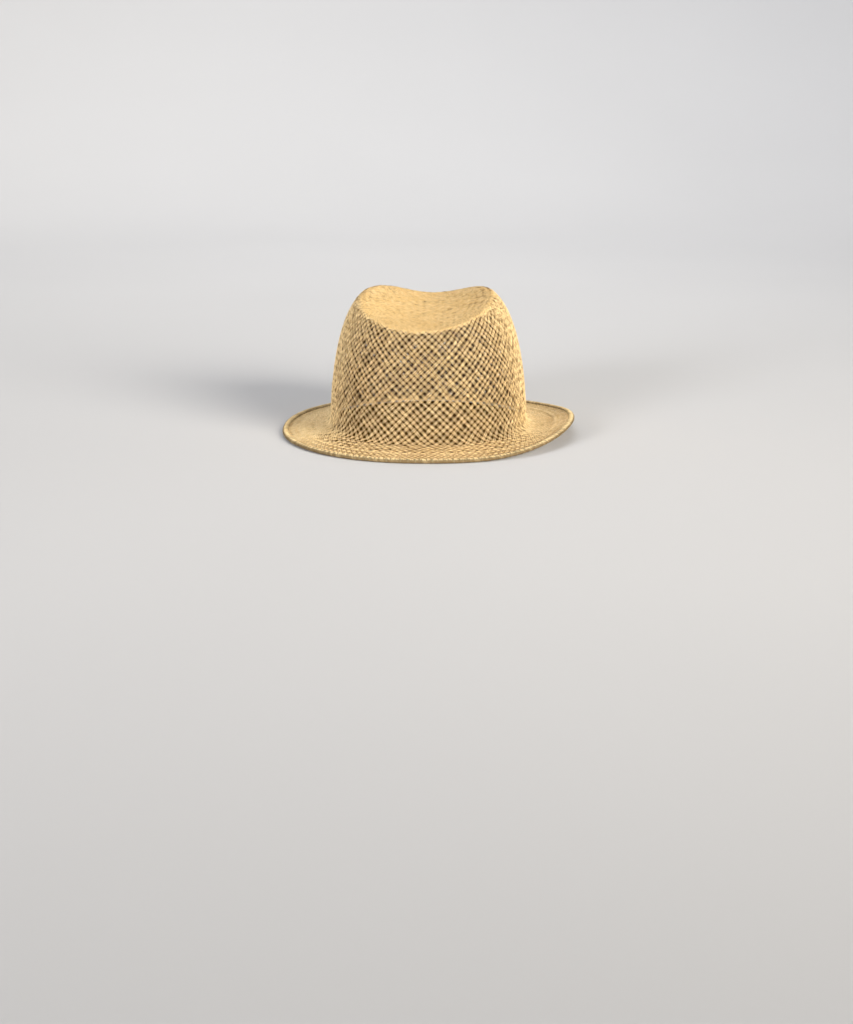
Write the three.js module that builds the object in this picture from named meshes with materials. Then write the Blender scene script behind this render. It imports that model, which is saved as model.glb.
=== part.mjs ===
// A natural straw fedora of open weave. Crown and brim are one hollow woven body, and a rolled hem runs
// around the edge of the brim. Millimetres, +Z up, with the origin on the surface that the hat rests on,
// under the middle of the brim. The dent of the crown opens towards -Y, which is taken as the front.

import * as THREE from 'three';
import { mergeVertices } from 'three/addons/utils/BufferGeometryUtils.js';

// Driving dimensions, in millimetres and degrees.
const STRAW = 2;                 // thickness of the woven wall
const GAP = 0.3;                 // between the edge of the brim and the hem
const OVAL_POWER = 2.15;         // 2 is an ellipse, more is squarer

const CROWN = {
  halfWidth: 84,
  halfLength: 99,
  height: 127,                   // top of the ridges above the surface
  sidePower: 5,                  // a high power keeps the side wall nearly straight
  shoulderPower: 1.7,            // a low power rounds the shoulder softly
  topTilt: 0.02,                 // rise of the top per millimetre towards the back
};

// The dent is an open trough. Its two sections hold the height of the floor above the surface, and how
// far from its middle line the trough has risen by the height of a ridge.
const DENT = {
  front: { y: -70, floor: 98, reach: 58 },
  back: { y: 70, floor: 109.5, reach: 36 },
  ridgeRise: 12,
  risePower: 2,
  middle: -2.5,
  skew: 0.09,                    // its middle line drifts to +X towards the back
  softness: 6,                   // rounding of the fold where it meets the crown
};

const HEM = {
  halfWidth: 125,                // outer edge of the whole brim
  halfLength: 140,
  width: 5.5,
  thickness: 3.8,
  sides: 8,
};

// The brim around the hat: the height of the hem's underside and of the brim where it leaves the crown,
// the radius of the bend there, and the downward slope after the bend and at the hem. Angles are
// counted from +X towards the back.
const BRIM_ROWS = [
  { angle: -105, underside: 0, crease: 8, bend: 11, slope: 12, hemSlope: 9 },
  { angle: -75, underside: 0, crease: 8, bend: 11, slope: 12, hemSlope: 9 },
  { angle: -14, underside: 12, crease: 8, bend: 8, slope: 4, hemSlope: -20 },
  { angle: 55, underside: 2.6, crease: 8, bend: 9, slope: 12, hemSlope: -6 },
  { angle: 90, underside: 1, crease: 8, bend: 10, slope: 12, hemSlope: 0 },
  { angle: 140, underside: 0.2, crease: 8, bend: 9, slope: 12, hemSlope: 2 },
  { angle: 180, underside: 0, crease: 7, bend: 8, slope: 12, hemSlope: 4 },
  { angle: 215, underside: 0.3, crease: 8, bend: 9, slope: 12, hemSlope: 6 },
];

// How finely the surfaces are divided.
const COLUMNS = 72;
const HEM_COLUMNS = 96;
const DOME_ROWS = 20;
const BEND_ROWS = 4;
const BRIM_STRIPS = 5;

const COLOURS = { body: 0xd9bd8a, hem: 0xcfae76 };

const radians = THREE.MathUtils.degToRad;
const mix = THREE.MathUtils.lerp;

// Distance from the middle to an oval, in the direction of an angle.
function ovalRadius(angle, halfWidth, halfLength) {
  const across = Math.abs(Math.cos(angle) / halfWidth) ** OVAL_POWER;
  const along = Math.abs(Math.sin(angle) / halfLength) ** OVAL_POWER;
  return (across + along) ** (-1 / OVAL_POWER);
}

// The row of the brim's table at any angle, eased between the rows that are given.
function brimAt(angle) {
  const first = BRIM_ROWS[0].angle;
  const turned = first + THREE.MathUtils.euclideanModulo(THREE.MathUtils.radToDeg(angle) - first, 360);
  let low = BRIM_ROWS.length - 1;
  while (BRIM_ROWS[low].angle > turned) low -= 1;
  const from = BRIM_ROWS[low];
  const to = low + 1 < BRIM_ROWS.length ? BRIM_ROWS[low + 1] : { ...BRIM_ROWS[0], angle: first + 360 };
  const t = THREE.MathUtils.smoothstep(turned, from.angle, to.angle);
  const row = {};
  for (const column of Object.keys(from)) row[column] = mix(from[column], to[column], t);
  return { ...row, slope: radians(row.slope), hemSlope: radians(row.hemSlope) };
}

// The lower of two heights, with a rounded fold where they cross.
function foldedMinimum(a, b, softness) {
  const t = THREE.MathUtils.clamp(0.5 + (b - a) / (2 * softness), 0, 1);
  return mix(b, a, t) - softness * t * (1 - t);
}

// Height of the dent's open trough over a point of the plan.
function dentHeight(x, y) {
  const along = (y - DENT.front.y) / (DENT.back.y - DENT.front.y);
  const floor = mix(DENT.front.floor, DENT.back.floor, along);
  const reach = mix(DENT.front.reach, DENT.back.reach, along);
  const aside = Math.abs(x - DENT.middle - DENT.skew * y);
  return floor + DENT.ridgeRise * (aside / reach) ** DENT.risePower;
}

// Height of the crown's dome over its foot, as a share of the whole, at a share of its reach.
const domeRise = (reach) => (1 - Math.min(reach, 1) ** CROWN.sidePower) ** (1 / CROWN.shoulderPower);

// Shares of the reach that lie at equal steps along the dome, from its middle to its foot.
function domeReaches(rows, steps = 64) {
  const points = Array.from({ length: steps + 1 }, (_, step) => {
    const reach = Math.sin((step / steps) * (Math.PI / 2)) ** (2 / CROWN.sidePower);
    return new THREE.Vector2(reach * CROWN.halfWidth, domeRise(reach) * CROWN.height);
  });
  const profile = new THREE.CurvePath();
  for (let i = 0; i < steps; i += 1) profile.add(new THREE.LineCurve(points[i], points[i + 1]));
  return profile.getSpacedPoints(rows).map((point) => point.x / CROWN.halfWidth);
}

// A point of the crown's outer surface.
function domePoint(angle, reach) {
  const radius = reach * ovalRadius(angle, CROWN.halfWidth, CROWN.halfLength);
  const x = radius * Math.cos(angle);
  const y = radius * Math.sin(angle);
  const { crease, bend } = brimAt(angle);
  const foot = crease + bend;
  const dome = foot + domeRise(reach) * (CROWN.height + CROWN.topTilt * y - foot);
  return new THREE.Vector3(x, y, foldedMinimum(dome, dentHeight(x, y), DENT.softness));
}

// A point of the bend between crown and brim, where turn goes from 0 to 1.
function bendPoint(angle, turn) {
  const { crease, bend, slope } = brimAt(angle);
  const turned = turn * (Math.PI / 2 - slope);
  const radius = ovalRadius(angle, CROWN.halfWidth, CROWN.halfLength) + bend * (1 - Math.cos(turned));
  const height = crease + bend * (1 - Math.sin(turned));
  return new THREE.Vector3(radius * Math.cos(angle), radius * Math.sin(angle), height);
}

// A point of the brim's upper surface, where out goes from 0 at the bend to 1 at the hem.
function brimPoint(angle, out) {
  const row = brimAt(angle);
  const start = bendPoint(angle, 1);
  const startRadius = Math.hypot(start.x, start.y);
  const lean = STRAW * Math.max(0, -Math.sin(row.hemSlope));
  const endRadius = ovalRadius(angle, HEM.halfWidth, HEM.halfLength) - HEM.width - GAP - lean;
  const endHeight = row.underside + (HEM.thickness + STRAW) / 2;
  const run = endRadius - startRadius;
  const eased = mix(start.z, endHeight, out * out * (3 - 2 * out));
  const leaving = -Math.tan(row.slope) * run * out * (1 - out) ** 2;
  const arriving = Math.tan(row.hemSlope) * run * out * out * (1 - out);
  const radius = startRadius + out * run;
  return new THREE.Vector3(radius * Math.cos(angle), radius * Math.sin(angle), eased + leaving + arriving);
}

// A mesh geometry from rows of points that run around the hat, with an optional point at the middle.
function ringSurface(rows, apex) {
  const columns = rows[0].length;
  const points = apex ? [apex, ...rows.flat()] : rows.flat();
  const start = apex ? 1 : 0;
  const at = (row, column) => start + row * columns + (column % columns);
  const triangles = [];
  for (let column = 0; column < columns; column += 1) {
    if (apex) triangles.push(0, at(0, column), at(0, column + 1));
    for (let row = 0; row + 1 < rows.length; row += 1) {
      triangles.push(at(row, column), at(row + 1, column), at(row + 1, column + 1));
      triangles.push(at(row, column), at(row + 1, column + 1), at(row, column + 1));
    }
  }
  const geometry = new THREE.BufferGeometry().setFromPoints(points);
  geometry.setIndex(triangles);
  return geometry;
}

// One row of points around the hat for a surface function and its second parameter.
function around(columns, pointAt, parameter) {
  return Array.from({ length: columns }, (_, column) => pointAt((column / columns) * 2 * Math.PI, parameter));
}

// The woven body: the outer surface from the middle of the top to the edge of the brim, and the inner
// surface one wall below it, closed along the edge.
function wovenBody() {
  const rows = [];
  for (const reach of domeReaches(DOME_ROWS).slice(1)) rows.push(around(COLUMNS, domePoint, reach));
  for (let i = 1; i <= BEND_ROWS; i += 1) rows.push(around(COLUMNS, bendPoint, i / BEND_ROWS));
  for (let i = 1; i <= BRIM_STRIPS; i += 1) rows.push(around(COLUMNS, brimPoint, i / BRIM_STRIPS));
  const outer = ringSurface(rows, domePoint(0, 0));
  outer.computeVertexNormals();

  const place = outer.getAttribute('position');
  const normal = outer.getAttribute('normal');
  const outerPoints = [];
  const innerPoints = [];
  for (let i = 0; i < place.count; i += 1) {
    const point = new THREE.Vector3().fromBufferAttribute(place, i);
    const inward = new THREE.Vector3().fromBufferAttribute(normal, i).multiplyScalar(-STRAW);
    outerPoints.push(point);
    innerPoints.push(point.clone().add(inward));
  }
  const outerFaces = Array.from(outer.getIndex().array);
  const faces = [...outerFaces];
  for (let i = 0; i < outerFaces.length; i += 3) {
    const [a, b, c] = outerFaces.slice(i, i + 3).map((index) => index + place.count);
    faces.push(a, c, b);
  }
  const lastRow = place.count - COLUMNS;
  for (let column = 0; column < COLUMNS; column += 1) {
    const a = lastRow + column;
    const b = lastRow + ((column + 1) % COLUMNS);
    faces.push(a, a + place.count, b + place.count, a, b + place.count, b);
  }
  const geometry = new THREE.BufferGeometry().setFromPoints([...outerPoints, ...innerPoints]);
  geometry.setIndex(faces);
  return mergeVertices(geometry, 1e-3);
}

// The rolled hem: a flat-sided ring around the edge of the brim.
function brimHem() {
  const rows = [];
  for (let side = 0; side <= HEM.sides; side += 1) {
    const turn = ((side + 0.5) / HEM.sides) * 2 * Math.PI;
    const corner = 1 / Math.cos(Math.PI / HEM.sides);
    const sectionPoint = (angle) => {
      const middle = ovalRadius(angle, HEM.halfWidth, HEM.halfLength) - HEM.width / 2;
      const radius = middle - (HEM.width / 2) * corner * Math.cos(turn);
      const height = brimAt(angle).underside + (HEM.thickness / 2) * (1 + corner * Math.sin(turn));
      return new THREE.Vector3(radius * Math.cos(angle), radius * Math.sin(angle), height);
    };
    rows.push(around(HEM_COLUMNS, sectionPoint));
  }
  return mergeVertices(ringSurface(rows), 1e-3);
}

// A named piece with its own straw finish.
function piece(name, geometry, colour, roughness) {
  geometry.computeVertexNormals();
  const material = new THREE.MeshStandardMaterial({ color: colour, roughness, metalness: 0 });
  const mesh = new THREE.Mesh(geometry, material);
  mesh.name = name;
  return mesh;
}

const fedora = new THREE.Group();
fedora.add(piece('woven_body', wovenBody(), COLOURS.body, 0.7));
fedora.add(piece('brim_hem', brimHem(), COLOURS.hem, 0.65));

export default fedora;
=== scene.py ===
import math

import bpy
import numpy as np
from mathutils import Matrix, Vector


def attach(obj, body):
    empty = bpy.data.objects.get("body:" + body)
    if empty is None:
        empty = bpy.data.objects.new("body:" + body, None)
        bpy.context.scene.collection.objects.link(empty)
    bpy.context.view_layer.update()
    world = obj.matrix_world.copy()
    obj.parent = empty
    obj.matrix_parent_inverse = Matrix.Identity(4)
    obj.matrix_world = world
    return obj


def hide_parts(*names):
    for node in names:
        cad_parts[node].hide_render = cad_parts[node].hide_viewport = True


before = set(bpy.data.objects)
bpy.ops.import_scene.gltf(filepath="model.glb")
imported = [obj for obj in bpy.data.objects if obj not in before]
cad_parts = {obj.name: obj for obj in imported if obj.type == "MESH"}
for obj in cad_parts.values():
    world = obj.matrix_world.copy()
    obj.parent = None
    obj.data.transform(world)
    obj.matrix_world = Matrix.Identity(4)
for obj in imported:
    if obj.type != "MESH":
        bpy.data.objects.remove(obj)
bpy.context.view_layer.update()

# The photographer's table: a pale round sweep of paper under and behind the hat, and the camera a
# little above the hat and one and a half metres in front of it, looking slightly down.

MM = 0.001
FRAME_HEIGHT = 1024
FOCAL_IN_PIXELS = 1776
CAMERA_PITCH = math.radians(14.2)
CAMERA_DISTANCE = 1.55
CAMERA_AIM = Vector((-1.6 * MM, 0, -74 * MM))
SENSOR_HEIGHT = 24

camera = bpy.data.objects.new("camera", bpy.data.cameras.new("camera"))
bpy.context.collection.objects.link(camera)
camera.data.sensor_fit = "VERTICAL"
camera.data.sensor_height = SENSOR_HEIGHT
camera.data.lens = SENSOR_HEIGHT * FOCAL_IN_PIXELS / FRAME_HEIGHT
backwards = Vector((0, -math.cos(CAMERA_PITCH), math.sin(CAMERA_PITCH)))
camera.location = CAMERA_AIM + CAMERA_DISTANCE * backwards
camera.rotation_euler = (math.pi / 2 - CAMERA_PITCH, 0, 0)
bpy.context.scene.camera = camera


class Wire:
    """An output in a tree of nodes. A sum, difference, product or quotient of wires adds a Math node."""

    def __init__(self, graph, socket):
        self.graph = graph
        self.socket = socket

    def math(self, operation, *values):
        return self.graph.node("ShaderNodeMath", {"operation": operation}, dict(enumerate(values)))

    def __add__(self, other):
        return self.math("ADD", self, other)

    def __sub__(self, other):
        return self.math("SUBTRACT", self, other)

    def __mul__(self, other):
        return self.math("MULTIPLY", self, other)

    def __truediv__(self, other):
        return self.math("DIVIDE", self, other)

    def __rsub__(self, other):
        return self.math("SUBTRACT", other, self)

    __radd__ = __add__
    __rmul__ = __mul__


class Graph:
    """A tree of nodes under construction. node() adds a node and returns a wire from one of its outputs."""

    def __init__(self, tree):
        self.tree = tree

    def node(self, kind, settings=None, values=None, output=0):
        node = self.tree.nodes.new(kind)
        for name, value in (settings or {}).items():
            if name == "stops":
                for place, (position, colour) in enumerate(value):
                    ramp = node.color_ramp
                    stop = ramp.elements[place] if place < 2 else ramp.elements.new(position)
                    stop.position = position
                    stop.color = (*colour, 1)
            else:
                setattr(node, name, value)
        self.feed(node, values or {})
        return Wire(self, node.outputs[output])

    def feed(self, node, values):
        for name, value in values.items():
            if isinstance(value, Wire):
                self.tree.links.new(value.socket, node.inputs[name])
            else:
                node.inputs[name].default_value = value


class Finish(Graph):
    """A material with one shader, whose sockets shade() sets or links."""

    def __init__(self, name):
        self.material = bpy.data.materials.new(name)
        self.material.use_nodes = True
        super().__init__(self.material.node_tree)

    def shade(self, values):
        self.feed(self.tree.nodes["Principled BSDF"], values)


def mesh_piece(name, points, faces=(), edges=()):
    """A smooth object at the origin, from points in metres."""
    mesh = bpy.data.meshes.new(name)
    mesh.from_pydata(np.asarray(points).tolist(), list(edges), list(faces))
    mesh.shade_smooth()
    piece = bpy.data.objects.new(name, mesh)
    bpy.context.collection.objects.link(piece)
    return piece


SWEEP_MIDDLE = 0.5
SWEEP_RADIUS = 1.7
SWEEP_BEND = 1.9
SWEEP_HEIGHT = 2.4
SWEEP_SIDES = 96
SWEEP_STEPS = 12

sweep = [(SWEEP_MIDDLE, 0.0), (SWEEP_RADIUS, 0.0)]
for step in range(1, SWEEP_STEPS + 1):
    turned = step / SWEEP_STEPS * math.pi / 2
    sweep.append((SWEEP_RADIUS + SWEEP_BEND * math.sin(turned), SWEEP_BEND * (1 - math.cos(turned))))
sweep.append((SWEEP_RADIUS + SWEEP_BEND, SWEEP_HEIGHT))
sweep_points = [(0.0, 0.0, 0.0)]
sweep_faces = []
for ring, (radius, height) in enumerate(sweep):
    first = 1 + ring * SWEEP_SIDES
    for side in range(SWEEP_SIDES):
        turned = side / SWEEP_SIDES * 2 * math.pi
        sweep_points.append((radius * math.cos(turned), radius * math.sin(turned), height))
        here = first + side
        beside = first + (side + 1) % SWEEP_SIDES
        if ring == 0:
            sweep_faces.append((0, here, beside))
        else:
            sweep_faces.append((here - SWEEP_SIDES, here, beside, beside - SWEEP_SIDES))
floor = mesh_piece("studio_floor", sweep_points, sweep_faces)

# Under the crown, where the paper shows only through the weave, it is painted with a warm brown shadow.
PALE_PAPER = ((0.3, (0.61, 0.61, 0.62)), (0.7, (0.63, 0.63, 0.64)))
PAPER_ROUGHNESS = 0.85
MOTTLE = {"Scale": 1.3, "Detail": 2.0}
PAINTED_SHADOW_OVAL = (104 * MM, 134 * MM, 1)
PAINTED_SHADOW_PAPER = (0.08, 0.04, 0.01)
PAINTED_SHADOW_ENDS = 30

# The sockets of a Mix node for its factor, its two colours and their mix.
FACTOR = 0
FIRST_COLOUR = 6
SECOND_COLOUR = 7
MIXED_COLOUR = 2

paper = Finish("studio_paper")
place = paper.node("ShaderNodeTexCoord", output="Object")
mottle = paper.node("ShaderNodeTexNoise", values={"Vector": place, **MOTTLE})
tone = paper.node("ShaderNodeValToRGB", {"stops": PALE_PAPER}, {"Fac": mottle})
# An oval of painted shadow under the hat: dark well inside it, fading to the plain paper at its edge.
across = paper.node("ShaderNodeVectorMath", {"operation": "DIVIDE"}, {0: place, 1: PAINTED_SHADOW_OVAL})
across = paper.node("ShaderNodeVectorMath", {"operation": "LENGTH"}, {0: across}, output=1)
tone = paper.node(
    "ShaderNodeMix", {"data_type": "RGBA", "clamp_factor": True},
    {FACTOR: (1 - across) * PAINTED_SHADOW_ENDS, FIRST_COLOUR: tone, SECOND_COLOUR: (*PAINTED_SHADOW_PAPER, 1)}, MIXED_COLOUR)
paper.shade({"Base Color": tone, "Roughness": PAPER_ROUGHNESS, "Specular IOR Level": 0.0})
floor.data.materials.append(paper.material)

LAMPS = (
    {"name": "key", "place": (1.85, -2.15, 0.75), "aim": (0, 0, 0.06), "size": 2.0, "watts": 33.5,
     "spread": 60, "colour": (1.0, 0.95, 0.86)},
    {"name": "fill", "place": (-1.6, -2.2, 0.55), "aim": (0, 0, 0.06), "size": 1.2, "watts": 11,
     "spread": 60, "colour": (0.98, 0.98, 1.0)},
    {"name": "back", "place": (0, 1.5, 2.6), "aim": (0, 2.4, 0), "size": 2.5, "watts": 38,
     "spread": 140, "colour": (1.0, 1.0, 1.0)},
)
ROOM_COLOUR = (1.0, 0.99, 0.98, 1)
ROOM_STRENGTH = 0.17

for lamp in LAMPS:
    light = bpy.data.lights.new(lamp["name"], "AREA")
    light.shape = "DISK"
    light.size = lamp["size"]
    light.energy = lamp["watts"]
    light.spread = math.radians(lamp["spread"])
    light.color = lamp["colour"]
    stand = bpy.data.objects.new(lamp["name"], light)
    stand.location = lamp["place"]
    stand.visible_camera = False
    stand.rotation_euler = (Vector(lamp["aim"]) - Vector(lamp["place"])).to_track_quat("-Z", "Y").to_euler()
    bpy.context.collection.objects.link(stand)
room = bpy.data.worlds.new("room")
room.use_nodes = True
room.node_tree.nodes["Background"].inputs["Color"].default_value = ROOM_COLOUR
room.node_tree.nodes["Background"].inputs["Strength"].default_value = ROOM_STRENGTH
bpy.context.scene.world = room
bpy.context.scene.view_settings.view_transform = "Standard"

# The crown, woven in one piece with the brim. Its straws lie in pairs and run on the bias, over one pair
# and under the next, from a square start at the middle of the top down to the brim. A block presses the
# crown into shape, with the dent along its top.

STRAW_BODY = 2.0
OVAL_POWER = 2.15
CROWN = {
    "half_width": 84, "half_length": 99, "height": 127, "side_power": 5, "shoulder_power": 1.7,
    "top_tilt": 0.02,
}
DENT = {
    "front_y": -70, "front_floor": 98, "front_reach": 58, "back_y": 70, "back_floor": 109.5,
    "back_reach": 36, "ridge_rise": 12, "middle": -2.5, "skew": 0.09, "softness": 6,
}
RIM = {"half_width": 125, "half_length": 140, "hem_width": 5.5, "hem_thickness": 3.8}
BRIM_COLUMNS = ("angle", "underside", "crease", "bend", "slope", "hem_slope")
BRIM_ROWS = np.array((
    (-105, 0.0, 8, 11, 12, 9),
    (-75, 0.0, 8, 11, 12, 9),
    (-14, 12.0, 8, 8, 4, -20),
    (55, 2.6, 8, 9, 12, -6),
    (90, 1.0, 8, 10, 12, 0),
    (140, 0.2, 8, 9, 12, 2),
    (180, 0.0, 7, 8, 12, 4),
    (215, 0.3, 8, 9, 12, 6),
    (255, 0.0, 8, 11, 12, 9),
))


def mix(a, b, share):
    return a + (b - a) * share


def ramp(values, begin, end):
    """0 up to begin, 1 past end, and a straight rise between them."""
    return np.clip((values - begin) / (end - begin), 0, 1)


def smooth(share):
    """The share with an easy start and end."""
    return share * share * (3 - 2 * share)


def oval_radius(angle, half_width, half_length):
    across = np.abs(np.cos(angle) / half_width) ** OVAL_POWER
    along = np.abs(np.sin(angle) / half_length) ** OVAL_POWER
    return (across + along) ** (-1 / OVAL_POWER)


def brim_at(angle):
    """The brim's table at these angles, eased between its rows."""
    turned = BRIM_ROWS[0, 0] + (np.degrees(angle) - BRIM_ROWS[0, 0]) % 360
    low = np.searchsorted(BRIM_ROWS[:, 0], turned, side="right") - 1
    share = (turned - BRIM_ROWS[low, 0]) / (BRIM_ROWS[low + 1, 0] - BRIM_ROWS[low, 0])
    values = mix(BRIM_ROWS[low], BRIM_ROWS[low + 1], smooth(share)[..., None])
    row = {name: values[..., i] for i, name in enumerate(BRIM_COLUMNS)}
    row["slope"] = np.radians(row["slope"])
    row["hem_slope"] = np.radians(row["hem_slope"])
    return row


def at_radius(angle, radius, height):
    return np.stack((radius * np.cos(angle), radius * np.sin(angle), height), axis=-1)


def dome_point(angle, reach):
    """The crown's outer surface at an angle, and at a share of the way from its middle to its side.

    It is the lower of the dome and the dent's floor, which meet in a soft ridge.
    """
    radius = reach * oval_radius(angle, CROWN["half_width"], CROWN["half_length"])
    x = radius * np.cos(angle)
    y = radius * np.sin(angle)
    row = brim_at(angle)
    foot = row["crease"] + row["bend"]
    rise = (1 - reach ** CROWN["side_power"]) ** (1 / CROWN["shoulder_power"])
    dome = mix(foot, CROWN["height"] + CROWN["top_tilt"] * y, rise)
    along = (y - DENT["front_y"]) / (DENT["back_y"] - DENT["front_y"])
    dent_reach = mix(DENT["front_reach"], DENT["back_reach"], along)
    aside = (x - DENT["middle"] - DENT["skew"] * y) / dent_reach
    dent = mix(DENT["front_floor"], DENT["back_floor"], along) + DENT["ridge_rise"] * aside * aside
    share = np.clip(0.5 + (dent - dome) / (2 * DENT["softness"]), 0, 1)
    return at_radius(angle, radius, mix(dent, dome, share) - DENT["softness"] * share * (1 - share))


def bend_point(angle, turn):
    """The bend between crown and brim, with turn from 0 at the crown to 1 at the brim."""
    row = brim_at(angle)
    turned = turn * (math.pi / 2 - row["slope"])
    radius = oval_radius(angle, CROWN["half_width"], CROWN["half_length"])
    return at_radius(angle, radius + row["bend"] * (1 - np.cos(turned)),
                     row["crease"] + row["bend"] * (1 - np.sin(turned)))


def brim_point(angle, out):
    """The brim's upper surface, with out from 0 at the bend to 1 at the hem."""
    row = brim_at(angle)
    start = bend_point(angle, 1.0)
    start_radius = np.hypot(start[..., 0], start[..., 1])
    end_radius = oval_radius(angle, RIM["half_width"], RIM["half_length"]) - RIM["hem_width"]
    end_height = row["underside"] + (RIM["hem_thickness"] + STRAW_BODY) / 2
    run = end_radius - start_radius
    level = mix(start[..., 2], end_height, smooth(out))
    leaving = np.tan(row["slope"]) * run * out * (1 - out) ** 2
    arriving = np.tan(row["hem_slope"]) * run * out * out * (1 - out)
    return at_radius(angle, start_radius + out * run, level - leaving + arriving)


# The straws are laid out on the hat as if it were a flat disc. The crown reaches from its middle to 1,
# which is the foot of the bend, and the brim from there to 2, which is the hem. The crown's part is
# divided into rings of cells, and the square start fills the middle, rounded towards its edge.
START_CELLS = 24
CROWN_RINGS = 18
RING_STEP = 5.85
HALF_START = START_CELLS // 2
START_REACH = 2 / math.sqrt(math.pi) * HALF_START
START_EDGE = START_REACH / (START_REACH + CROWN_RINGS)
START_ROUNDING = 1.4
WALL_LENGTH = CROWN_RINGS * RING_STEP

# The hat's surface as a fine net of points, at equal steps round it and down it.
NET_COLUMNS = 720
NET_ROWS = {"top": 130, "wall": 180, "brim": 60}
WALK = {"round": 20 * NET_COLUMNS, "dome": 260, "bend": 20, "brim": 120}
DOME_CROWDING = 3


def evenly(lines, begin, end, count):
    """Points at equal steps between the places begin and end along each line of points."""
    steps = np.linalg.norm(np.diff(lines, axis=1), axis=2)
    length = np.concatenate((np.zeros((len(lines), 1)), np.cumsum(steps, axis=1)), axis=1)
    found = np.empty((len(lines), count, 3))
    for row, (line, along) in enumerate(zip(lines, length)):
        wanted = np.linspace(begin(along[-1]), end(along[-1]), count)
        for axis in range(3):
            found[row, :, axis] = np.interp(wanted, along, line[:, axis])
    return found


walk_angle = np.linspace(0, 2 * math.pi, WALK["round"] + 1)
walk_radius = oval_radius(walk_angle, CROWN["half_width"], CROWN["half_length"])
walk_steps = np.linalg.norm(np.diff(at_radius(walk_angle, walk_radius, 0 * walk_radius), axis=0), axis=1)
walked = np.concatenate(([0], np.cumsum(walk_steps)))
columns = np.interp(np.arange(NET_COLUMNS) / NET_COLUMNS * walked[-1], walked, walk_angle)[:, None]
dome = dome_point(columns, 1 - np.linspace(1, 0, WALK["dome"])[None, :] ** DOME_CROWDING)
bend = bend_point(columns, np.linspace(0, 1, WALK["bend"])[None, 1:])
brim = brim_point(columns, np.linspace(0, 1, WALK["brim"])[None, :])
crown = np.concatenate((dome, bend), axis=1)
top_net = evenly(crown, lambda length: 0, lambda length: length - WALL_LENGTH, NET_ROWS["top"] + 1)
wall_net = evenly(crown, lambda length: length - WALL_LENGTH, lambda length: length, NET_ROWS["wall"] + 1)
brim_net = evenly(brim, lambda length: 0, lambda length: length, NET_ROWS["brim"] + 1)
net = np.concatenate((top_net, wall_net[:, 1:], brim_net[:, 1:]), axis=1)
net_normal = np.cross(np.gradient(net, axis=1), np.roll(net, -1, axis=0) - np.roll(net, 1, axis=0))
net_normal[:, 0] = net_normal[:, 1].mean(axis=0)
net_normal /= np.linalg.norm(net_normal, axis=2, keepdims=True)
net_station = np.concatenate((
    np.linspace(0, START_EDGE, NET_ROWS["top"] + 1),
    np.linspace(START_EDGE, 1, NET_ROWS["wall"] + 1)[1:],
    np.linspace(1, 2, NET_ROWS["brim"] + 1)[1:],
))


def unit(vectors):
    return vectors / np.linalg.norm(vectors, axis=-1, keepdims=True)


def on_hat(spots):
    """Points and outward normals of the hat's outer surface at spots of the flat disc."""
    column = np.arctan2(spots[:, 1], spots[:, 0]) / (2 * math.pi) % 1 * NET_COLUMNS
    row = np.interp(np.hypot(spots[:, 0], spots[:, 1]), net_station, np.arange(len(net_station)))
    first_row = np.minimum(row.astype(int), len(net_station) - 2)
    first_column = column.astype(int) % NET_COLUMNS
    next_column = (first_column + 1) % NET_COLUMNS
    down = (row - first_row)[:, None]
    round_share = (column % 1)[:, None]
    found = []
    for table in (net, net_normal):
        inner = mix(table[first_column, first_row], table[next_column, first_row], round_share)
        outer = mix(table[first_column, first_row + 1], table[next_column, first_row + 1], round_share)
        found.append(mix(inner, outer, down))
    return found[0], unit(found[1])


def on_disc(station, turn):
    return station * np.array((math.cos(2 * math.pi * turn), math.sin(2 * math.pi * turn)))


def start_spot(a, b):
    """A point of the square start on the flat disc: square at its middle and round at its edge."""
    ring = max(abs(a), abs(b))
    if ring == 0:
        return np.zeros(2)
    if a == ring:
        turn = b / (8 * ring)
    elif b == ring:
        turn = 0.25 - a / (8 * ring)
    elif a == -ring:
        turn = 0.5 - b / (8 * ring)
    else:
        turn = 0.75 + a / (8 * ring)
    squared = np.array((a, b)) / (START_REACH + CROWN_RINGS)
    rounded = on_disc(START_EDGE * ring / HALF_START, turn)
    return mix(squared, rounded, (ring / HALF_START) ** START_ROUNDING)


def start_cells():
    """The square start: its points, each with its ring and spot, its cells, and the points of its edge."""
    whole = range(-HALF_START, HALF_START + 1)
    points = {("start", a, b): (max(abs(a), abs(b)), start_spot(a, b)) for a in whole for b in whole}
    cells = []
    for a in whole[:-1]:
        for b in whole[:-1]:
            cells.append([("start", a + i, b + j) for i, j in ((0, 0), (1, 0), (1, 1), (0, 1))])
    edge = {}
    for name, (ring, spot) in points.items():
        if ring == HALF_START:
            turn = math.atan2(spot[1], spot[0]) / (2 * math.pi)
            edge[round(turn * 4 * START_CELLS) % (4 * START_CELLS)] = name
    return points, cells, edge


def ring_cells(first_ring, stations, sides, inner=None):
    """Rings of cells with their points at these stations. inner names the points that they grow from."""
    points = {}
    names = []
    for ring, station in enumerate(stations, first_ring):
        names.append([("ring", ring, side) for side in range(sides)])
        for side, name in enumerate(names[-1]):
            points[name] = (ring, on_disc(station, side / sides))
    if inner:
        names.insert(0, [inner[side] for side in range(sides)])
    cells = []
    for inside, outside in zip(names[:-1], names[1:]):
        for side in range(sides):
            after = (side + 1) % sides
            cells.append([inside[side], outside[side], outside[after], inside[after]])
    return points, cells


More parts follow.
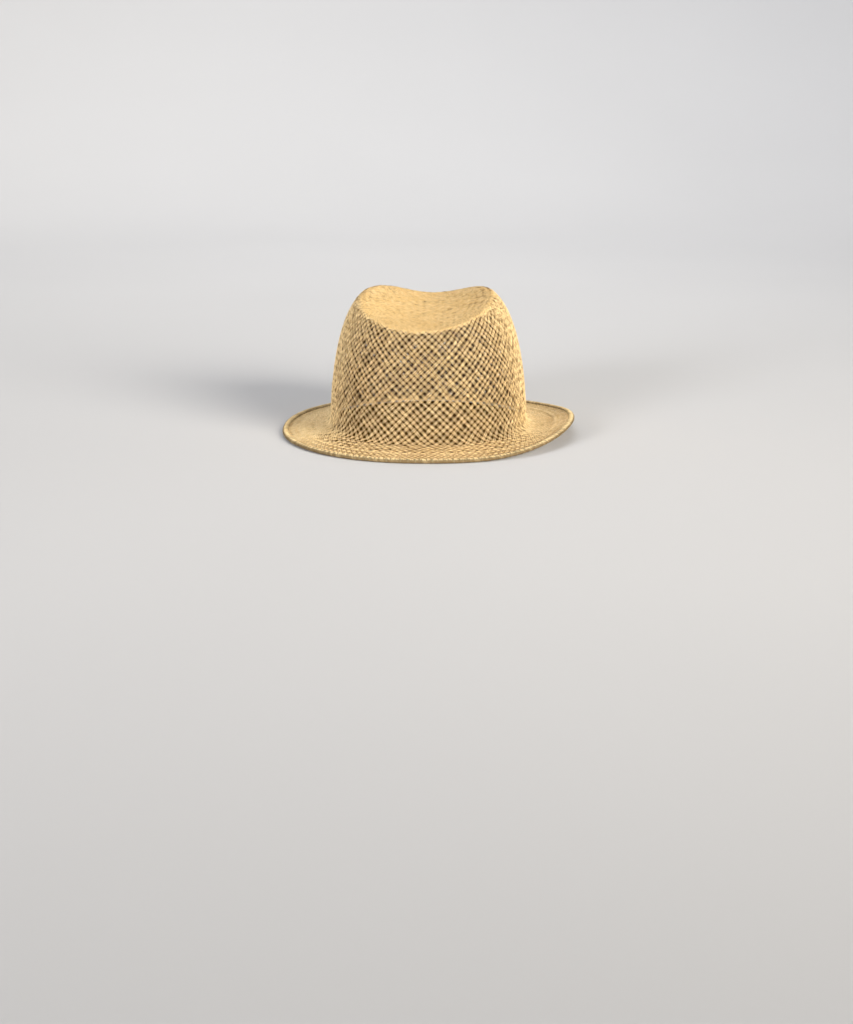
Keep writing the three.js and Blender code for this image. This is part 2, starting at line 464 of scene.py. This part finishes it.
def follow_straws(cells):
    """Every straw as the list of cell edges that it crosses: it always turns round a corner of a cell."""
    beside = {}
    for cell in cells:
        for i in range(4):
            beside.setdefault(frozenset((cell[i], cell[i - 1])), []).append(cell)
    straws = []
    done = set()
    for rim in (edge for edge, found in beside.items() if len(found) == 1):
        for corner in sorted(rim, key=str):
            if (rim, corner) in done:
                continue
            edge, turning, cell = rim, corner, beside[rim][0]
            straw = [edge]
            while cell:
                pivot = turning
                place = cell.index(pivot)
                ahead = frozenset((pivot, cell[place - 1]))
                edge = frozenset((pivot, cell[(place + 1) % 4])) if ahead == edge else ahead
                straw.append(edge)
                turning = next(iter(edge - {pivot}))
                cell = next((other for other in beside[edge] if other is not cell), None)
            done.add((edge, pivot))
            straws.append(straw)
    return straws


# The weights of neighbours in a ripple, and those of the points next to a middle of a smooth curve.
RIPPLE = np.array((1, 2, 3, 2, 1))
CURVE = {"near": 9 / 16, "far": -1 / 16}


def ripple(dice, count):
    """A gently wandering row of random numbers, about 1 in size."""
    weights = RIPPLE / np.linalg.norm(RIPPLE)
    return np.convolve(dice.normal(size=count + len(RIPPLE) - 1), weights, mode="valid")


def with_middles(values):
    """The values with one between each two, on a smooth curve through the four that are nearest."""
    padded = np.concatenate((2 * values[:1] - values[1:2], values, 2 * values[-1:] - values[-2:-1]))
    middles = CURVE["near"] * (padded[1:-2] + padded[2:-1]) + CURVE["far"] * (padded[:-3] + padded[3:])
    found = np.empty((2 * len(values) - 1, *values.shape[1:]))
    found[0::2] = values
    found[1::2] = middles
    return found


def weave(points, cells, dice, lift, slip, sink):
    """The straws' middle lines in the hat's wall, in millimetres, with their normals and spacing.

    lift(places, normals) is how far a straw rises over the ones that it crosses, slip how far it wanders
    to its sides, as a share of the spacing, and sink how deep it dives at the rows of crossings named.
    """
    straws = follow_straws(cells)
    number = {}
    for straw in straws:
        for edge in straw:
            number.setdefault(edge, len(number))
    row = np.array([sum(points[end][0] for end in edge) for edge in number])
    spot = np.array([sum(points[end][1] for end in edge) / 2 for edge in number])
    turn = np.arctan2(spot[:, 1], spot[:, 0]) / (2 * math.pi)
    place, normal = on_hat(spot)
    rise = lift(place, normal)
    straws = [np.array([number[edge] for edge in straw]) for straw in straws]

    crossing_steps = [[] for _ in number]
    overs = {}
    for straw in straws:
        step = np.gradient(place[straw], axis=0)
        down = np.diff(row[straw])
        around = (np.diff(turn[straw]) + 0.5) % 1 - 0.5
        kind = np.sign(down * around)
        for i, crossing in enumerate(straw):
            beside = i if i < len(kind) and kind[i] else i - 1
            rises = (row[crossing] % 2 == 0) == (kind[beside] > 0)
            first = overs.setdefault((crossing, 0), rises)
            if crossing_steps[crossing]:
                overs[crossing, 1] = not first
            crossing_steps[crossing].append(step[i])

    shift = np.zeros_like(place)
    laid = []
    seen = np.zeros(len(place), int)
    for straw in straws:
        which = [min(seen[crossing], 1) for crossing in straw]
        seen[straw] += 1
        own = np.array([crossing_steps[c][w] for c, w in zip(straw, which)])
        other = np.array([crossing_steps[c][1 - w] if len(crossing_steps[c]) > 1 else own[i]
                          for i, (c, w) in enumerate(zip(straw, which))])
        spacing = np.linalg.norm(np.cross(own, other), axis=1) / np.linalg.norm(own, axis=1)
        spacing = np.where(spacing > 0, spacing, spacing.max())
        side = unit(np.cross(normal[straw], own))
        shift[straw] += (ripple(dice, len(straw)) * slip * spacing)[:, None] * side
        height = np.array([rise[c] if overs[c, w] else -rise[c] for c, w in zip(straw, which)])
        height -= np.array([sink.get(r, 0) for r in row[straw]])
        under = np.array([0.0 if overs[c, w] else 1.0 for c, w in zip(straw, which)])
        laid.append((straw, height, spacing, under))

    lines = []
    for straw, height, spacing, under in laid:
        centre = place[straw] + shift[straw] + normal[straw] * (height - STRAW_BODY / 2)[:, None]
        lines.append({"centre": centre, "up": normal[straw], "spacing": spacing, "row": row[straw],
                      "rise": rise[straw], "under": under})
    return lines


# The gap between the two strips of a pair is a share of the spacing of the pairs. It closes where they
# cover more than OPEN_COVER of it. Ranges in brackets are the least and the most of a random share.
PAIR_GAP = 0.13
PAIR_GAP_SPREAD = 0.03
OPEN_COVER = 0.7
MOST_CLOSED = 0.8
COVER_SPREAD = 0.11
STRIP_WIDTHS = (0.93, 1.07)
PAIR_SHADES = (0.3, 0.7)
STRIP_SHADES = (-0.15, 0.15)
SHADE_SPREAD = 0.12
ROLL = 0.5
RAISED = 0.4


def strands(lines, dice, cover, tint):
    """Swept strips for the straws, each a pair that lies side by side.

    cover(line) gives the share of the spacing that a straw covers at its crossings, and tint(line) how
    much darker it is there.
    """
    found = []
    for line in lines:
        centre = with_middles(line["centre"])
        up = unit(with_middles(line["up"]))
        spacing = with_middles(line["spacing"])
        covered = with_middles(cover(line)) * spacing
        side = unit(np.cross(up, np.gradient(centre, axis=0)))
        count = len(centre)
        closed = np.minimum(ramp(covered / spacing, OPEN_COVER, 1), MOST_CLOSED)
        gap = np.abs(PAIR_GAP + PAIR_GAP_SPREAD * ripple(dice, count)) * (1 - closed) * spacing
        covered *= 1 + COVER_SPREAD * ripple(dice, count)
        # tint adds the painted shade and light of the tints to the random tone.
        shade = dice.uniform(*PAIR_SHADES) + with_middles(tint(line))
        for strip in (-0.5, 0.5):
            width = (covered - gap) / 2 * dice.uniform(*STRIP_WIDTHS)
            offset = strip * (width + gap)
            roll = ROLL * with_middles(line["rise"]) * ripple(dice, count)
            found.append({
                "centre": centre + side * offset[:, None],
                "up": unit(up * np.cos(roll)[:, None] + side * np.sin(roll)[:, None]),
                "width": width,
                "shade": shade + SHADE_SPREAD * ripple(dice, count) + dice.uniform(*STRIP_SHADES),
                "thick": with_middles(line["rise"]) / RAISED,
                # deep marks where a straw passes under others, where it is painted with shade.
                "deep": np.clip(with_middles(line["under"] * line["rise"]) / RAISED, 0, 1),
            })
    return found


FLAT = (0.0, 1.0, 1.0)


def straw_tree():
    """Geometry nodes that sweep an oval section along each chain of edges, thinner where it is pressed.

    The circle is swept flat, and then its points rise or sink by their first places in it.
    """
    tree = bpy.data.node_groups.new("sweep_straws", "GeometryNodeTree")
    face = tree.interface
    face.new_socket("Geometry", in_out="INPUT", socket_type="NodeSocketGeometry")
    face.new_socket("Thickness", in_out="INPUT", socket_type="NodeSocketFloat")
    face.new_socket("Sides", in_out="INPUT", socket_type="NodeSocketInt")
    face.new_socket("Finish", in_out="INPUT", socket_type="NodeSocketMaterial")
    face.new_socket("Geometry", in_out="OUTPUT", socket_type="NodeSocketGeometry")
    graph = Graph(tree)
    given = tree.nodes.new("NodeGroupInput").outputs

    def named(name, kind="FLOAT"):
        return graph.node("GeometryNodeInputNamedAttribute", {"data_type": kind}, {"Name": name})

    curves = graph.node("GeometryNodeMeshToCurve", values={"Mesh": Wire(graph, given["Geometry"])})
    curves = graph.node("GeometryNodeSetCurveNormal", {"mode": "FREE"},
                        {"Curve": curves, "Normal": named("up", "FLOAT_VECTOR")})
    section = graph.node("GeometryNodeCurvePrimitiveCircle",
                         values={"Resolution": Wire(graph, given["Sides"]), "Radius": 0.5})
    places = graph.node("GeometryNodeInputPosition")
    section = graph.node("GeometryNodeStoreNamedAttribute", {"data_type": "FLOAT_VECTOR", "domain": "POINT"},
                         {"Geometry": section, "Name": "section", "Value": places})
    section = graph.node("GeometryNodeTransform", values={"Geometry": section, "Scale": FLAT})
    swept = graph.node("GeometryNodeCurveToMesh", values={
        "Curve": curves, "Profile Curve": section, "Scale": named("width"), "Fill Caps": True})
    above = graph.node("ShaderNodeSeparateXYZ", values={"Vector": named("section", "FLOAT_VECTOR")})
    above = above * named("thick") * Wire(graph, given["Thickness"])
    rise = graph.node("ShaderNodeVectorMath", {"operation": "SCALE"},
                      {"Vector": named("up", "FLOAT_VECTOR"), "Scale": above})
    swept = graph.node("GeometryNodeSetPosition", values={"Geometry": swept, "Offset": rise})
    swept = graph.node("GeometryNodeSetShadeSmooth", values={"Geometry": swept})
    swept = graph.node("GeometryNodeRealizeInstances", values={"Geometry": swept})
    swept = graph.node("GeometryNodeSetMaterial",
                       values={"Geometry": swept, "Material": Wire(graph, given["Finish"])})
    graph.feed(tree.nodes.new("NodeGroupOutput"), {"Geometry": swept})
    return tree


SWEEP_STRAWS = straw_tree()

# Each straw starts this far along from the last one, in metres, so that no two have the same creases.
STRAW_APART = 0.37


def sweep_straws(name, strips, thickness, sides, finish):
    """One mesh of all these strips. thickness is in millimetres, where a strip isn't pressed thinner."""
    points = np.concatenate([strip["centre"] for strip in strips]) * MM
    edges = []
    along = []
    for number, strip in enumerate(strips):
        first = len(along)
        run = np.concatenate(([0], np.cumsum(np.linalg.norm(np.diff(strip["centre"], axis=0), axis=1))))
        along.extend(run * MM + number * STRAW_APART)
        edges.extend((i, i + 1) for i in range(first, len(along) - 1))
    chains = mesh_piece(name + "_lines", points, edges=edges)
    values = {
        "width": ("FLOAT", "value", np.concatenate([strip["width"] for strip in strips]) * MM),
        "shade": ("FLOAT", "value", np.concatenate([strip["shade"] for strip in strips])),
        "thick": ("FLOAT", "value", np.concatenate([strip["thick"] for strip in strips])),
        "deep": ("FLOAT", "value", np.concatenate([strip["deep"] for strip in strips])),
        "along": ("FLOAT", "value", np.array(along)),
        "up": ("FLOAT_VECTOR", "vector", np.concatenate([strip["up"] for strip in strips])),
    }
    for attribute, (kind, field, numbers) in values.items():
        chains.data.attributes.new(attribute, kind, "POINT").data.foreach_set(field, numbers.ravel())
    modifier = chains.modifiers.new("sweep", "NODES")
    modifier.node_group = SWEEP_STRAWS
    wanted = {"Thickness": thickness * MM, "Sides": sides, "Finish": finish.material}
    for socket in SWEEP_STRAWS.interface.items_tree:
        if socket.in_out == "INPUT" and socket.name in wanted:
            modifier[socket.identifier] = wanted[socket.name]
    depsgraph = bpy.context.evaluated_depsgraph_get()
    mesh = bpy.data.meshes.new_from_object(chains.evaluated_get(depsgraph), depsgraph=depsgraph)
    bpy.data.objects.remove(chains)
    mesh.name = name
    piece = bpy.data.objects.new(name, mesh)
    bpy.context.collection.objects.link(piece)
    return piece


# Creases run along a strip, and crinkles across it. The tone goes from the pale colour to the dark one,
# and the colours of the edges and of what lies deep are multiplied into it. What lies deep carries painted
# shade, the edges are partly browner folded edges and partly painted shade, and the back gets painted shade.
CREASES = {"across": 5, "through": 5, "along": 55, "scale": 1.6, "detail": 3.0}
CRINKLES = {"across": 2, "through": 1, "along": 420, "scale": 1.0, "detail": 2.0}
BLOTCHES = {"Scale": 22.0, "Detail": 2.0}
TONE = {"shade": 0.5, "creases": 0.4, "blotches": 0.3, "offset": 0.3}
# The edge colour is partly a browner folded edge and partly painted shade; the deep colour is painted shade
# under other straws; the back's painted shade fades out towards the floor.
EDGE_BROWN_AND_SHADOW = (0.38, 0.24, 0.09)
UNDER_SHADOW_COLOUR = (0.24, 0.12, 0.03)
BACK_EASE = 2
INSIDE_FROM = 14 * MM
RELIEF = {"creases": 0.7, "crinkles": 0.5}
BUMP = {"Strength": 0.35, "Distance": 0.3 * MM}
ROUGHNESS = {"least": 0.42, "creases": 0.3}
SHINE = 0.15


def straw_finish(name, pale, dark, edge_brown_and_shadow, under_shadow, inside_shadow):
    """Paper straw: each strip has its own tone and lengthwise creases. Its edges are darker, partly as a
    browner folded edge and partly as painted shade between strips; the stretches that pass under other
    straws carry painted shade, and so does its back, most of all inside the crown.
    """
    finish = Finish(name)

    def attribute(key, output="Fac"):
        return finish.node("ShaderNodeAttribute", {"attribute_name": key}, output=output)

    def part_of(vector, axis):
        return finish.node("ShaderNodeSeparateXYZ", values={"Vector": vector}, output=axis)

    def streaks(pattern):
        """Noise drawn out along the strip."""
        lengthwise = finish.node("ShaderNodeCombineXYZ", values={
            "X": across * pattern["across"],
            "Y": through * pattern["through"],
            "Z": along * pattern["along"],
        })
        return finish.node("ShaderNodeTexNoise", values={
            "Vector": lengthwise, "Scale": pattern["scale"], "Detail": pattern["detail"]})

    def blended(share, first, second, way="MIX"):
        return finish.node(
            "ShaderNodeMix", {"data_type": "RGBA", "blend_type": way, "clamp_factor": True},
            {FACTOR: share, FIRST_COLOUR: first, SECOND_COLOUR: (*second, 1)}, MIXED_COLOUR)

    place = finish.node("ShaderNodeTexCoord", output="Object")
    through = part_of(attribute("section", "Vector"), "X")
    across = part_of(attribute("section", "Vector"), "Y")
    along = attribute("along")
    creases = streaks(CREASES)
    blotches = finish.node("ShaderNodeTexNoise", values={"Vector": place, **BLOTCHES})
    # The shade attribute holds each strip's random tone together with the painted shade and light of the
    # tints.
    tone = attribute("shade") * TONE["shade"] + creases * TONE["creases"]
    tone = tone + blotches * TONE["blotches"] - TONE["offset"]
    colour = blended(tone, (*pale, 1), dark)
    # Edges: partly the strip's browner folded edge, partly painted shade in the grooves between strips.
    edge = across.math("ABSOLUTE", across) * 2
    colour = blended(edge * edge * edge * edge_brown_and_shadow, colour, EDGE_BROWN_AND_SHADOW, "MULTIPLY")
    # Painted shade where a straw passes under others.
    colour = blended(attribute("deep") * under_shadow, colour, UNDER_SHADOW_COLOUR, "MULTIPLY")
    # Painted shade on the back of each strip, fading out in the lowest part near the floor.
    height = part_of(place, "Z")
    in_crown = height.math("MINIMUM", height / INSIDE_FROM, 1.0)
    colour = blended((0.5 - through * BACK_EASE) * in_crown, colour, inside_shadow, "MULTIPLY")
    relief = creases * RELIEF["creases"] + streaks(CRINKLES) * RELIEF["crinkles"]
    finish.shade({
        "Base Color": colour,
        "Roughness": creases * ROUGHNESS["creases"] + ROUGHNESS["least"],
        "Normal": finish.node("ShaderNodeBump", values={"Height": relief, **BUMP}),
        "Specular IOR Level": SHINE,
    })
    return finish


# Slopes are the upward share of the surface's normal. A cover is the share of the spacing that a pair
# covers, and past 1 the pairs overlap. A tint is added to a straw's tone.
# The inner colour is painted shade on the straws' backs, so the inside of the crown reads dark through the
# weave.
STRAW_TONES = {
    "pale": (0.96, 0.76, 0.42), "dark": (0.74, 0.47, 0.16), "edge_brown_and_shadow": 0.9, "under_shadow": 1.0,
    "inside_shadow": (0.09, 0.05, 0.02),
}
STRAW_THICKNESS = 0.6
STRAW_SIDES = 6
TOP_SLOPE = {"from": 0.72, "to": 0.96}
BRIM_SLOPE = {"from": 0.5, "to": 0.9}
WALL_LIFT = 0.4
TOP_LIFT = 0.15
CROWN_SLIP = 0.1
FRONT_COVER = 0.44
SIDE_COVER = 0.85
BACK_COVER = 1.05
TOP_COVER = 1.06
BACK_TO_SIDE = {"from": -0.75, "to": -0.25}
SIDE_TO_FRONT = {"from": 0.3, "to": 0.7}
BRIM_FRONT = {"from": 0.35, "to": 0.8}
BRIM_LIFT = {"front": 0.45, "side": 0.15}
BRIM_COVER = {"front": 0.5, "side": 1.06}
WOVEN_ON = (1.17, 1.34, 1.51)
LAST_ROW = 2 * (HALF_START + CROWN_RINGS + len(WOVEN_ON))
LAST_SINK = 0.3
CROWN_TUCKS = ({"end": True, "depth": 0.5, "length": 0.4}, {"end": False, "depth": 1.0, "length": 0.6})
PLAIN_TINT = -0.3
# Painted shade darkens the top of the crown, and painted light makes its walls paler.
TOP_PAINTED_SHADE = 0.6
WALL_PAINTED_LIGHT = -0.25
CROWN_PIECES = 3
WEAVE_SEED = 19


def top_share(places, normals):
    """1 on top of the crown, as in the dent and on the ridges, and 0 on its walls."""
    high = places[:, 2] > CROWN["height"] / 2
    return high * smooth(ramp(normals[:, 2], TOP_SLOPE["from"], TOP_SLOPE["to"]))


def brim_share(places, normals):
    """1 on the brim and 0 on the crown."""
    low = places[:, 2] < CROWN["height"] / 2
    return low * smooth(ramp(normals[:, 2], BRIM_SLOPE["from"], BRIM_SLOPE["to"]))


def front_share(places):
    """1 at the front of the brim, where its weave is open, and 0 at its sides and back."""
    facing = -places[:, 1] / np.hypot(places[:, 0], places[:, 1])
    return ramp(facing, BRIM_FRONT["from"], BRIM_FRONT["to"])


def brim_lift(places, normals):
    return mix(BRIM_LIFT["side"], BRIM_LIFT["front"], front_share(places))


def crown_lift(places, normals):
    wall = mix(WALL_LIFT, TOP_LIFT, top_share(places, normals))
    return mix(wall, brim_lift(places, normals), brim_share(places, normals))


def crown_cover(line):
    """The weave is closed on top, at the back and on the sides of the brim, and open down the front."""
    facing = -line["centre"][:, 1] / CROWN["half_length"]
    wall = mix(BACK_COVER, SIDE_COVER, ramp(facing, BACK_TO_SIDE["from"], BACK_TO_SIDE["to"]))
    wall = mix(wall, FRONT_COVER, ramp(facing, SIDE_TO_FRONT["from"], SIDE_TO_FRONT["to"]))
    wall = mix(wall, TOP_COVER, top_share(line["centre"], line["up"]))
    brim = mix(BRIM_COVER["side"], BRIM_COVER["front"], front_share(line["centre"]))
    return mix(wall, brim, brim_share(line["centre"], line["up"]))


def crown_tint(line):
    """Painted shade darkens the straws on top of the crown, and painted light makes them paler down its
    walls; on the brim they have the plain, paler tint.
    """
    brim = brim_share(line["centre"], line["up"])
    top = top_share(line["centre"], line["up"])
    return PLAIN_TINT * brim + TOP_PAINTED_SHADE * top + WALL_PAINTED_LIGHT * (1 - brim - top)


def tuck(lines, end, depth, length):
    """Carries lines on past their end, or else their start, by a share of a step and down by depth."""
    last, before = (-1, -2) if end else (0, 1)
    for line in lines:
        extra = {key: values[last] for key, values in line.items()}
        extra["centre"] = extra["centre"] + (line["centre"][last] - line["centre"][before]) * length
        extra["centre"] = extra["centre"] - extra["up"] * depth
        for key, values in line.items():
            parts = (values, extra[key][None]) if end else (extra[key][None], values)
            line[key] = np.concatenate(parts)


dice = np.random.default_rng(WEAVE_SEED)
start_points, cells, start_edge = start_cells()
ring_stations = (*np.linspace(START_EDGE, 1, CROWN_RINGS + 1)[1:], *WOVEN_ON)
more_points, more_cells = ring_cells(HALF_START + 1, ring_stations, 4 * START_CELLS, start_edge)
crown_lines = weave({**start_points, **more_points}, cells + more_cells, dice, crown_lift, CROWN_SLIP,
                    {LAST_ROW: LAST_SINK})
for ends in CROWN_TUCKS:
    tuck(crown_lines, **ends)
crown_strips = strands(crown_lines, dice, crown_cover, crown_tint)
crown_finish = straw_finish("crown_straw", **STRAW_TONES)
for number in range(CROWN_PIECES):
    piece = sweep_straws(f"crown_straws_{number + 1}", crown_strips[number::CROWN_PIECES], STRAW_THICKNESS,
                         STRAW_SIDES, crown_finish)
    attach(piece, "root")
    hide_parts("woven_body")

# The outer half of the brim. More straws are woven in here, in narrower pairs that lie flat and close,
# so this band is fine and shut, and opens only a little at the front. Its edge carries painted shade.

BRIM_SIDES = 144
BRIM_STATIONS = (1.46, 1.64, 1.82, 2.0)
BRIM_SLIP = 0.03
FIRST_SINK = 0.7
BRIM_TUCKS = ({"end": False, "depth": 0.3, "length": 0.4}, {"end": True, "depth": 0.0, "length": 0.5})
EDGE_COVER = {"front": 0.56, "side": 0.97}
# The brim's dark colour takes the painted shade of its outer band, and its inner colour is painted shade on
# the back of the brim's straws.
BRIM_TONES = {
    **STRAW_TONES, "dark": (0.50, 0.32, 0.12), "edge_brown_and_shadow": 0.8, "inside_shadow": (0.62, 0.52, 0.42),
}
# Painted shade on the outer rows of the brim, stronger towards the back.
BAND_ROWS = {"from": 2.0, "to": 4.0}
BAND_PAINTED_SHADE = {"front": 0.1, "back": 0.6}
BAND_BACK = {"from": -0.3, "to": 0.7}


def brim_cover(line):
    return mix(EDGE_COVER["side"], EDGE_COVER["front"], front_share(line["centre"]))


def brim_tint(line):
    """Painted shade on the outer band of the brim, most at the back."""
    band = ramp(line["row"], BAND_ROWS["from"], BAND_ROWS["to"])
    back = ramp(line["centre"][:, 1] / RIM["half_length"], BAND_BACK["from"], BAND_BACK["to"])
    return PLAIN_TINT + band * mix(BAND_PAINTED_SHADE["front"], BAND_PAINTED_SHADE["back"], back)


brim_points, brim_cells = ring_cells(0, BRIM_STATIONS, BRIM_SIDES)
brim_lines = weave(brim_points, brim_cells, dice, brim_lift, BRIM_SLIP, {0: FIRST_SINK})
for ends in BRIM_TUCKS:
    tuck(brim_lines, **ends)
brim_strips = strands(brim_lines, dice, brim_cover, brim_tint)
brim_finish = straw_finish("brim_straw", **BRIM_TONES)
piece = sweep_straws("brim_straws", brim_strips, STRAW_THICKNESS, STRAW_SIDES, brim_finish)
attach(piece, "root")
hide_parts("woven_body")

# The hem. At the edge of the brim the straws are turned over a core and back under the brim, and lie
# side by side round it. They are drawn together in twos and threes. The hem is pale on top, and painted
# shade darkens its side and, less, its inner side.

# The core is darkened as painted shadow, for the gaps between the wraps.
CORE_PAINTED_SHADOW = 0.28
CORE_SIDES = 12
CORE_COLUMNS = 240
WRAPS = 460
WRAP_GROUPS = (2, 4)
WRAP_STRAY = 0.14
WRAP_WIDTH = 1.75
WRAP_WIDTHS = (0.75, 1.1)
WRAP_THICKNESS = 0.3
WRAP_SWELL = 1.6
WRAP_DEPTHS = (0.5, 0.9)
WRAP_STEPS = 16
WRAP_FROM = math.radians(158)
WRAP_TO = math.radians(-165)
WRAP_SLANT = 2.2
PINCH = {"turned": math.radians(104), "spread": math.radians(38), "share": 0.6, "narrowing": 0.5}
PALE_CREST = {"from": math.radians(30), "to": math.radians(60)}
CREST_ENDS = {"from": math.radians(105), "to": math.radians(130), "share": 0.5}
# How dark the painted shade on the hem's side is, and the pale tone of its top.
WRAP_PAINTED_SHADE = {"side": 2.0, "crest": 0.35}
WRAP_SHADES = (-0.5, 0.4)
PLAIN_TONES = {**STRAW_TONES, "inside_shadow": (1, 1, 1)}
# The wraps' dark colour is the painted shade of the hem's side.
HEM_SHADOW_TONES = {**PLAIN_TONES, "dark": (0.19, 0.13, 0.06), "edge_brown_and_shadow": 0.8}
# The core's colours are the straw's, darkened as painted shadow.
CORE_TONES = {
    **PLAIN_TONES, "edge_brown_and_shadow": 0, "under_shadow": 0,
    "pale": tuple(CORE_PAINTED_SHADOW * c for c in STRAW_TONES["pale"]),
    "dark": tuple(CORE_PAINTED_SHADOW * c for c in STRAW_TONES["dark"]),
}


def hem_point(angle, turned, shrink):
    """A point on the hem's section at an angle round the hat. turned is 0 at the outside, and up is +."""
    half_width = RIM["hem_width"] / 2 - shrink
    half_height = RIM["hem_thickness"] / 2 - shrink
    middle = oval_radius(angle, RIM["half_width"], RIM["half_length"]) - RIM["hem_width"] / 2
    height = brim_at(angle)["underside"] + RIM["hem_thickness"] / 2
    return at_radius(angle, middle + half_width * np.cos(turned), height + half_height * np.sin(turned))


core_angle = np.repeat(np.arange(CORE_COLUMNS) / CORE_COLUMNS * 2 * math.pi, CORE_SIDES)
core_turn = np.tile(np.arange(CORE_SIDES) / CORE_SIDES * 2 * math.pi, CORE_COLUMNS)
core_points = hem_point(core_angle, core_turn, WRAP_THICKNESS) * MM
core_faces = []
for column in range(CORE_COLUMNS):
    for side in range(CORE_SIDES):
        here = column * CORE_SIDES
        beyond = (column + 1) % CORE_COLUMNS * CORE_SIDES
        after = (side + 1) % CORE_SIDES
        core_faces.append((here + side, beyond + side, beyond + after, here + after))
hem_core = mesh_piece("hem_core", core_points, core_faces)
hem_core.data.materials.append(straw_finish("core_straw", **CORE_TONES).material)

wrap_strips = []
turned = np.linspace(WRAP_FROM, WRAP_TO, WRAP_STEPS)
lean = WRAP_SLANT * (turned - WRAP_FROM) / (WRAP_TO - WRAP_FROM)
pinched = PINCH["share"] * np.exp(-((turned - PINCH["turned"]) / PINCH["spread"]) ** 2)
# Painted shade along each wrap: dark on the hem's outer side and under it, half as dark on its inner side,
# pale along its top.
crest = ramp(turned, PALE_CREST["from"], PALE_CREST["to"])
crest -= CREST_ENDS["share"] * ramp(turned, CREST_ENDS["from"], CREST_ENDS["to"])
shade = mix(WRAP_PAINTED_SHADE["side"], WRAP_PAINTED_SHADE["crest"], crest)
number = 0
while number < WRAPS:
    group = min(int(dice.integers(*WRAP_GROUPS)), WRAPS - number)
    for member in range(group):
        aside = (member - (group - 1) / 2) * (1 - pinched)
        place = number + (group - 1) / 2 + aside + dice.normal() * WRAP_STRAY + lean
        angle = place / WRAPS * 2 * math.pi
        depth = WRAP_THICKNESS * dice.uniform(*WRAP_DEPTHS)
        centre = hem_point(angle, turned, depth)
        wrap_strips.append({
            "centre": centre,
            "up": unit(centre - hem_point(angle, turned, depth + WRAP_THICKNESS)),
            "width": WRAP_WIDTH * dice.uniform(*WRAP_WIDTHS) * (1 - PINCH["narrowing"] * pinched),
            "shade": shade + dice.uniform(*WRAP_SHADES),
            "thick": np.ones(WRAP_STEPS),
            "deep": np.zeros(WRAP_STEPS),
        })
    number += group
hem_wraps = sweep_straws("hem_wraps", wrap_strips, WRAP_THICKNESS * WRAP_SWELL, STRAW_SIDES,
                         straw_finish("hem_straw", **HEM_SHADOW_TONES))
for piece in (hem_core, hem_wraps):
    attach(piece, "root")
    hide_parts("brim_hem")
